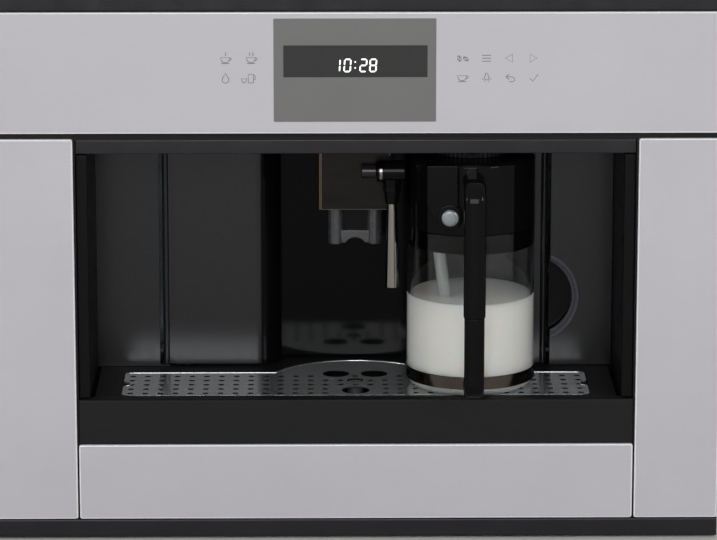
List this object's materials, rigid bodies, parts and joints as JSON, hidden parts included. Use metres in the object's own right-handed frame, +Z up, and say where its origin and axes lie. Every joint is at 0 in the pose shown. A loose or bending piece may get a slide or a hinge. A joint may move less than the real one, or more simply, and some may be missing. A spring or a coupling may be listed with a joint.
{
  "type": "built-in coffee machine",
  "caption": "Built-in fully automatic coffee machine: glass front, dispensing cavity with twin spout, milk jug, drip drawer and service door, on pull-out rails.",
  "frame": {"origin": "middle of the base plate's underside, on the niche floor", "axes": "+X to the right of someone in front of the machine, +Y into the niche, +Z up; the face of the glass is at Y = -0.2 m"},
  "size_m": [0.595, 0.416, 0.455],
  "materials": {
    "tinted_glass": "back-painted pale mauve-grey glass, polished edges",
    "dark_trim": "dark gloss",
    "black_plastic": "fine-grained moulded black",
    "satin_black": "satin moulded black",
    "gloss_black": "polished black",
    "brushed_steel": "brushed",
    "chrome": "polished",
    "clear_glass": "clear",
    "clear_plastic": "translucent",
    "smoked_plastic": "smoked translucent",
    "silver_plastic": "satin silver",
    "grey_plastic": "moulded grey",
    "display": "dark display",
    "zinc_steel": "zinc-plated sheet steel",
    "burr_steel": "ground steel",
    "aluminium": "cast",
    "circuit_board": "solder mask"
  },
  "bodies": {
    "niche_base": {"niche_base_plate": "zinc_steel", "outer_rail_left": "zinc_steel", "outer_rail_right": "zinc_steel"},
    "rail_carriage": {"middle_rail_left": "zinc_steel", "middle_rail_right": "zinc_steel"},
    "chassis": {"inner_rail_left": "zinc_steel", "inner_rail_right": "zinc_steel", "chassis_pan": "zinc_steel", "side_cover_left": "zinc_steel", "side_cover_right": "zinc_steel", "rear_cover": "zinc_steel", "top_cover": "zinc_steel", "inner_shelf": "zinc_steel", "front_frame": "black_plastic", "control_glass": "tinted_glass", "flank_glass_left": "tinted_glass", "flank_glass_right": "tinted_glass", "display_module": "display", "top_trim": "dark_trim", "bottom_trim": "dark_trim", "header_band": "dark_trim", "cavity_side_left": "black_plastic", "cavity_side_right": "black_plastic", "cavity_ceiling": "black_plastic", "cavity_wall_left": "satin_black", "cavity_wall_right": "satin_black", "brew_frame": "grey_plastic", "bean_hopper": "smoked_plastic", "grinder_housing": "black_plastic", "grinder_motor": "zinc_steel", "pump": "black_plastic", "boiler": "aluminium", "control_board": "circuit_board", "mains_inlet": "black_plastic"},
    "brew_piston": {"brew_piston": "grey_plastic"},
    "grinder_burr": {"grinder_burr": "burr_steel"},
    "hopper_lid": {"bean_hopper_lid": "smoked_plastic"},
    "grind_knob": {"grind_knob": "black_plastic"},
    "water_tank": {"water_tank": "clear_plastic"},
    "drip_drawer": {"tray_fascia": "black_plastic", "lower_glass": "tinted_glass", "drip_tub": "black_plastic", "drip_plate": "brushed_steel", "grounds_bin": "grey_plastic"},
    "tray_float": {"tray_float": "grey_plastic"},
    "service_door": {"service_door": "satin_black", "spout_housing": "brushed_steel"},
    "coffee_spout": {"coffee_spout": "satin_black"},
    "milk_spout": {"milk_elbow": "gloss_black", "milk_sleeve": "chrome"},
    "milk_jug": {"jug_glass": "clear_glass", "jug_band": "brushed_steel", "jug_lid": "gloss_black", "milk_valve_housing": "gloss_black", "jug_handle_grip": "gloss_black", "jug_handle_arm": "gloss_black", "milk_intake_tube": "clear_plastic"},
    "cleaning_button": {"cleaning_button": "silver_plastic"},
    "froth_dial": {"froth_dial": "black_plastic"}
  },
  "joints": [
    {"name": "machine_pullout", "type": "slide", "parent": "niche_base", "child": "chassis", "axis": [0, -1, 0], "range_m": [0, 0.33]},
    {"name": "rail_carriage_slide", "type": "slide", "parent": "niche_base", "child": "rail_carriage", "axis": [0, -1, 0], "range_m": [0, 0.165]},
    {"name": "drip_drawer_slide", "type": "slide", "parent": "chassis", "child": "drip_drawer", "axis": [0, -1, 0], "range_m": [0, 0.25]},
    {"name": "tray_float_rise", "type": "slide", "parent": "drip_drawer", "child": "tray_float", "axis": [0, 0, 1], "range_m": [0, 0.006]},
    {"name": "service_door_hinge", "type": "hinge", "parent": "chassis", "child": "service_door", "pos_m": [-0.15903, -0.08235, 0.22], "axis": [0, 0, -1], "range_deg": [0, 90]},
    {"name": "coffee_spout_height", "type": "slide", "parent": "service_door", "child": "coffee_spout", "axis": [0, 0, 1], "range_m": [-0.02, 0.014]},
    {"name": "milk_spout_swing", "type": "hinge", "parent": "service_door", "child": "milk_spout", "pos_m": [0.03, -0.155, 0.3], "axis": [-1, 0, 0], "range_deg": [0, 50]},
    {"name": "milk_jug_slide", "type": "slide", "parent": "service_door", "child": "milk_jug", "axis": [0, -1, 0], "range_m": [0, 0.18]},
    {"name": "cleaning_button_press", "type": "slide", "parent": "milk_jug", "child": "cleaning_button", "axis": [0, 1, 0], "range_m": [0, 0.0022], "stiffness_N_per_m": 600},
    {"name": "froth_dial_turn", "type": "hinge", "parent": "milk_jug", "child": "froth_dial", "pos_m": [0.0953, -0.142, 0.316], "axis": [0, 0, 1], "range_deg": [-60, 60]},
    {"name": "water_tank_slide", "type": "slide", "parent": "chassis", "child": "water_tank", "axis": [-1, 0, 0], "range_m": [0, 0.14]},
    {"name": "hopper_lid_hinge", "type": "hinge", "parent": "chassis", "child": "hopper_lid", "pos_m": [0.092, 0.1525, 0.4456], "axis": [-1, 0, 0], "range_deg": [0, 95]},
    {"name": "grind_knob_turn", "type": "hinge", "parent": "chassis", "child": "grind_knob", "pos_m": [0.199, 0.065, 0.446], "axis": [0, 0, 1], "range_deg": [-75, 75]},
    {"name": "grinder_burr_spin", "type": "hinge", "parent": "chassis", "child": "grinder_burr", "pos_m": [0.092, 0.055, 0.3], "axis": [0, 0, 1], "continuous": true},
    {"name": "brew_piston_press", "type": "slide", "parent": "chassis", "child": "brew_piston", "axis": [0, 0, -1], "range_m": [0, 0.03]}
  ],
  "couplings": [
    {"joint": "rail_carriage_slide", "follows": "machine_pullout", "ratio": 0.5}
  ]
}
